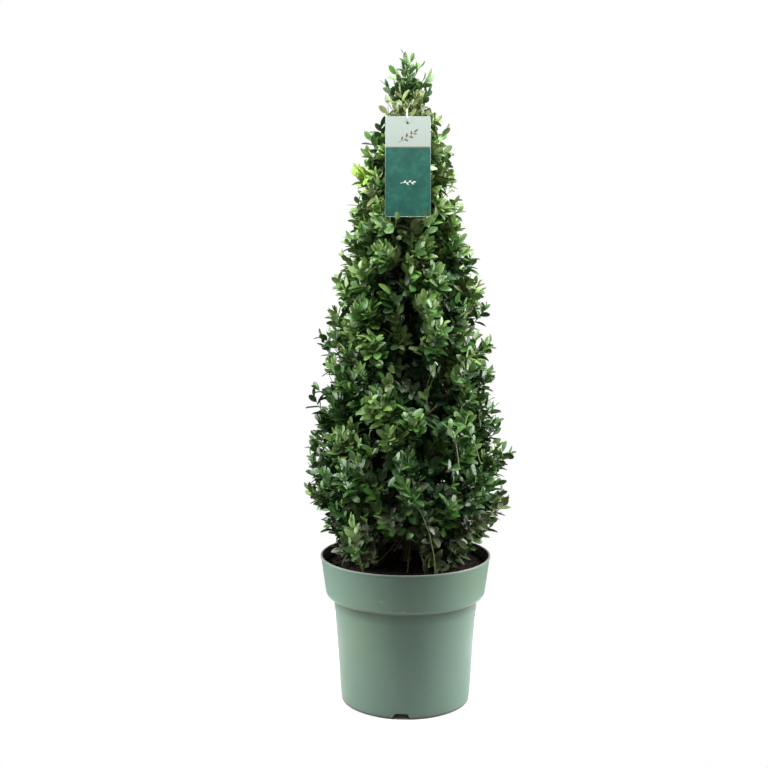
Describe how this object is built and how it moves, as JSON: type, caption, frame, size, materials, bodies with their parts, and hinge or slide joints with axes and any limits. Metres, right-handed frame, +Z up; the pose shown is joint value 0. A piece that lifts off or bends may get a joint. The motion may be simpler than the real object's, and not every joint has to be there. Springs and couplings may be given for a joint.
{
  "type": "potted clipped pyramid shrub",
  "caption": "Small-leaved evergreen holly clipped to a tall pyramid, with a hanging tag, in a round plastic nursery pot with a wide collar.",
  "frame": {"origin": "centre of the pot's flat underside, on the surface that the pot stands on", "axes": "+Z up along the pot's and the crown's common axis; -Y towards the front, where the tag hangs; +X to the right seen from the front"},
  "size_m": [0.2469, 0.2488, 0.7945],
  "materials": {
    "pot_plastic": "satin sage green moulded polypropylene",
    "peat": "crumbly dark potting mix",
    "bark": "thin tan-green bark",
    "leaves": "glossy dark green leaves",
    "card": "printed plastic card",
    "white_cord": "white elastic cord"
  },
  "bodies": {
    "root": {"pot": "pot_plastic", "potting_soil": "peat", "trunk": "bark", "stem_left": "bark", "stem_front": "bark", "stem_right": "bark", "stem_back_right": "bark", "stem_back_left": "bark", "bough_middle_front_left": "bark", "bough_middle_front_right": "bark", "bough_middle_back_right": "bark", "bough_middle_back_left": "bark", "bough_upper_left": "bark", "bough_upper_right": "bark", "bough_upper_back": "bark", "foliage_lower_left": "leaves", "foliage_lower_front": "leaves", "foliage_lower_right": "leaves", "foliage_lower_back_right": "leaves", "foliage_lower_back_left": "leaves", "foliage_middle_front_left": "leaves", "foliage_middle_front_right": "leaves", "foliage_middle_back_right": "leaves", "foliage_middle_back_left": "leaves", "foliage_upper_left": "leaves", "foliage_upper_right": "leaves", "foliage_upper_back": "leaves", "foliage_tip": "leaves", "tag": "card", "tag_tie": "white_cord"}
  },
  "joints": []
}
